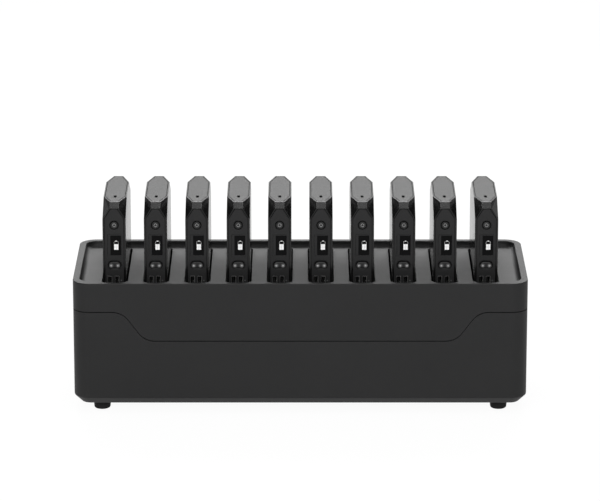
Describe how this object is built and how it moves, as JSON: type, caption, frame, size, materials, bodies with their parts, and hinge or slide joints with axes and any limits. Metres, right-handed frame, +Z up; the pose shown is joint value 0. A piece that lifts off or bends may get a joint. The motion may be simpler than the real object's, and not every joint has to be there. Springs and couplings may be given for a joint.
{
  "type": "battery pack charging station",
  "caption": "Long desktop charging station with a row of slim battery packs standing upright in slots of a recessed deck; each pack lifts out and has a power button, display and twin key.",
  "frame": {"origin": "on the ground under the middle of the station", "axes": "+X to the right along the row of packs, +Y to the back, +Z up; the pack fronts face -Y"},
  "size_m": [0.528, 0.189, 0.2442],
  "materials": {
    "housing": "fine satin texture",
    "inner_plastic": "plain",
    "circuit_board": "solder resist",
    "sheet_steel": "plain",
    "foot_rubber": "matt",
    "pack_case": "satin",
    "pack_panel": "satin",
    "display_glass": "polished",
    "key_plastic": "satin"
  },
  "bodies": {
    "station": {"upper_housing": "housing", "lower_housing": "housing", "bay_frame": "inner_plastic", "charge_board": "circuit_board", "power_supply": "sheet_steel", "ac_inlet": "inner_plastic", "foot_front_left": "foot_rubber", "foot_front_right": "foot_rubber", "foot_rear_left": "foot_rubber", "foot_rear_right": "foot_rubber"},
    "pack_01": {"pack_01_case": "pack_case", "pack_01_front_panel": "pack_panel", "pack_01_display_lens": "display_glass"},
    "pack_01_button": {"pack_01_power_button": "key_plastic"},
    "pack_01_key": {"pack_01_twin_key": "key_plastic"},
    "pack_02": {"pack_02_case": "pack_case", "pack_02_front_panel": "pack_panel", "pack_02_display_lens": "display_glass"},
    "pack_02_button": {"pack_02_power_button": "key_plastic"},
    "pack_02_key": {"pack_02_twin_key": "key_plastic"},
    "pack_03": {"pack_03_case": "pack_case", "pack_03_front_panel": "pack_panel", "pack_03_display_lens": "display_glass"},
    "pack_03_button": {"pack_03_power_button": "key_plastic"},
    "pack_03_key": {"pack_03_twin_key": "key_plastic"},
    "pack_04": {"pack_04_case": "pack_case", "pack_04_front_panel": "pack_panel", "pack_04_display_lens": "display_glass"},
    "pack_04_button": {"pack_04_power_button": "key_plastic"},
    "pack_04_key": {"pack_04_twin_key": "key_plastic"},
    "pack_05": {"pack_05_case": "pack_case", "pack_05_front_panel": "pack_panel", "pack_05_display_lens": "display_glass"},
    "pack_05_button": {"pack_05_power_button": "key_plastic"},
    "pack_05_key": {"pack_05_twin_key": "key_plastic"},
    "pack_06": {"pack_06_case": "pack_case", "pack_06_front_panel": "pack_panel", "pack_06_display_lens": "display_glass"},
    "pack_06_button": {"pack_06_power_button": "key_plastic"},
    "pack_06_key": {"pack_06_twin_key": "key_plastic"},
    "pack_07": {"pack_07_case": "pack_case", "pack_07_front_panel": "pack_panel", "pack_07_display_lens": "display_glass"},
    "pack_07_button": {"pack_07_power_button": "key_plastic"},
    "pack_07_key": {"pack_07_twin_key": "key_plastic"},
    "pack_08": {"pack_08_case": "pack_case", "pack_08_front_panel": "pack_panel", "pack_08_display_lens": "display_glass"},
    "pack_08_button": {"pack_08_power_button": "key_plastic"},
    "pack_08_key": {"pack_08_twin_key": "key_plastic"},
    "pack_09": {"pack_09_case": "pack_case", "pack_09_front_panel": "pack_panel", "pack_09_display_lens": "display_glass"},
    "pack_09_button": {"pack_09_power_button": "key_plastic"},
    "pack_09_key": {"pack_09_twin_key": "key_plastic"},
    "pack_10": {"pack_10_case": "pack_case", "pack_10_front_panel": "pack_panel", "pack_10_display_lens": "display_glass"},
    "pack_10_button": {"pack_10_power_button": "key_plastic"},
    "pack_10_key": {"pack_10_twin_key": "key_plastic"}
  },
  "joints": [
    {"name": "pack_01_lift", "type": "slide", "parent": "station", "child": "pack_01", "axis": [0, 0, 1], "range_m": [0, 0.05]},
    {"name": "pack_01_press", "type": "slide", "parent": "pack_01", "child": "pack_01_button", "axis": [0, 1, 0], "range_m": [0, 0.0007], "stiffness_N_per_m": 600},
    {"name": "pack_01_rock", "type": "hinge", "parent": "pack_01", "child": "pack_01_key", "pos_m": [-0.216, -0.0577, 0.1707], "axis": [0, 0, 1], "range_deg": [-3, 3], "stiffness_Nm_per_rad": 0.05},
    {"name": "pack_02_lift", "type": "slide", "parent": "station", "child": "pack_02", "axis": [0, 0, 1], "range_m": [0, 0.05]},
    {"name": "pack_02_press", "type": "slide", "parent": "pack_02", "child": "pack_02_button", "axis": [0, 1, 0], "range_m": [0, 0.0007], "stiffness_N_per_m": 600},
    {"name": "pack_02_rock", "type": "hinge", "parent": "pack_02", "child": "pack_02_key", "pos_m": [-0.168, -0.0577, 0.1707], "axis": [0, 0, 1], "range_deg": [-3, 3], "stiffness_Nm_per_rad": 0.05},
    {"name": "pack_03_lift", "type": "slide", "parent": "station", "child": "pack_03", "axis": [0, 0, 1], "range_m": [0, 0.05]},
    {"name": "pack_03_press", "type": "slide", "parent": "pack_03", "child": "pack_03_button", "axis": [0, 1, 0], "range_m": [0, 0.0007], "stiffness_N_per_m": 600},
    {"name": "pack_03_rock", "type": "hinge", "parent": "pack_03", "child": "pack_03_key", "pos_m": [-0.12, -0.0577, 0.1707], "axis": [0, 0, 1], "range_deg": [-3, 3], "stiffness_Nm_per_rad": 0.05},
    {"name": "pack_04_lift", "type": "slide", "parent": "station", "child": "pack_04", "axis": [0, 0, 1], "range_m": [0, 0.05]},
    {"name": "pack_04_press", "type": "slide", "parent": "pack_04", "child": "pack_04_button", "axis": [0, 1, 0], "range_m": [0, 0.0007], "stiffness_N_per_m": 600},
    {"name": "pack_04_rock", "type": "hinge", "parent": "pack_04", "child": "pack_04_key", "pos_m": [-0.072, -0.0577, 0.1707], "axis": [0, 0, 1], "range_deg": [-3, 3], "stiffness_Nm_per_rad": 0.05},
    {"name": "pack_05_lift", "type": "slide", "parent": "station", "child": "pack_05", "axis": [0, 0, 1], "range_m": [0, 0.05]},
    {"name": "pack_05_press", "type": "slide", "parent": "pack_05", "child": "pack_05_button", "axis": [0, 1, 0], "range_m": [0, 0.0007], "stiffness_N_per_m": 600},
    {"name": "pack_05_rock", "type": "hinge", "parent": "pack_05", "child": "pack_05_key", "pos_m": [-0.024, -0.0577, 0.1707], "axis": [0, 0, 1], "range_deg": [-3, 3], "stiffness_Nm_per_rad": 0.05},
    {"name": "pack_06_lift", "type": "slide", "parent": "station", "child": "pack_06", "axis": [0, 0, 1], "range_m": [0, 0.05]},
    {"name": "pack_06_press", "type": "slide", "parent": "pack_06", "child": "pack_06_button", "axis": [0, 1, 0], "range_m": [0, 0.0007], "stiffness_N_per_m": 600},
    {"name": "pack_06_rock", "type": "hinge", "parent": "pack_06", "child": "pack_06_key", "pos_m": [0.024, -0.0577, 0.1707], "axis": [0, 0, 1], "range_deg": [-3, 3], "stiffness_Nm_per_rad": 0.05},
    {"name": "pack_07_lift", "type": "slide", "parent": "station", "child": "pack_07", "axis": [0, 0, 1], "range_m": [0, 0.05]},
    {"name": "pack_07_press", "type": "slide", "parent": "pack_07", "child": "pack_07_button", "axis": [0, 1, 0], "range_m": [0, 0.0007], "stiffness_N_per_m": 600},
    {"name": "pack_07_rock", "type": "hinge", "parent": "pack_07", "child": "pack_07_key", "pos_m": [0.072, -0.0577, 0.1707], "axis": [0, 0, 1], "range_deg": [-3, 3], "stiffness_Nm_per_rad": 0.05},
    {"name": "pack_08_lift", "type": "slide", "parent": "station", "child": "pack_08", "axis": [0, 0, 1], "range_m": [0, 0.05]},
    {"name": "pack_08_press", "type": "slide", "parent": "pack_08", "child": "pack_08_button", "axis": [0, 1, 0], "range_m": [0, 0.0007], "stiffness_N_per_m": 600},
    {"name": "pack_08_rock", "type": "hinge", "parent": "pack_08", "child": "pack_08_key", "pos_m": [0.12, -0.0577, 0.1707], "axis": [0, 0, 1], "range_deg": [-3, 3], "stiffness_Nm_per_rad": 0.05},
    {"name": "pack_09_lift", "type": "slide", "parent": "station", "child": "pack_09", "axis": [0, 0, 1], "range_m": [0, 0.05]},
    {"name": "pack_09_press", "type": "slide", "parent": "pack_09", "child": "pack_09_button", "axis": [0, 1, 0], "range_m": [0, 0.0007], "stiffness_N_per_m": 600},
    {"name": "pack_09_rock", "type": "hinge", "parent": "pack_09", "child": "pack_09_key", "pos_m": [0.168, -0.0577, 0.1707], "axis": [0, 0, 1], "range_deg": [-3, 3], "stiffness_Nm_per_rad": 0.05},
    {"name": "pack_10_lift", "type": "slide", "parent": "station", "child": "pack_10", "axis": [0, 0, 1], "range_m": [0, 0.05]},
    {"name": "pack_10_press", "type": "slide", "parent": "pack_10", "child": "pack_10_button", "axis": [0, 1, 0], "range_m": [0, 0.0007], "stiffness_N_per_m": 600},
    {"name": "pack_10_rock", "type": "hinge", "parent": "pack_10", "child": "pack_10_key", "pos_m": [0.216, -0.0577, 0.1707], "axis": [0, 0, 1], "range_deg": [-3, 3], "stiffness_Nm_per_rad": 0.05}
  ]
}
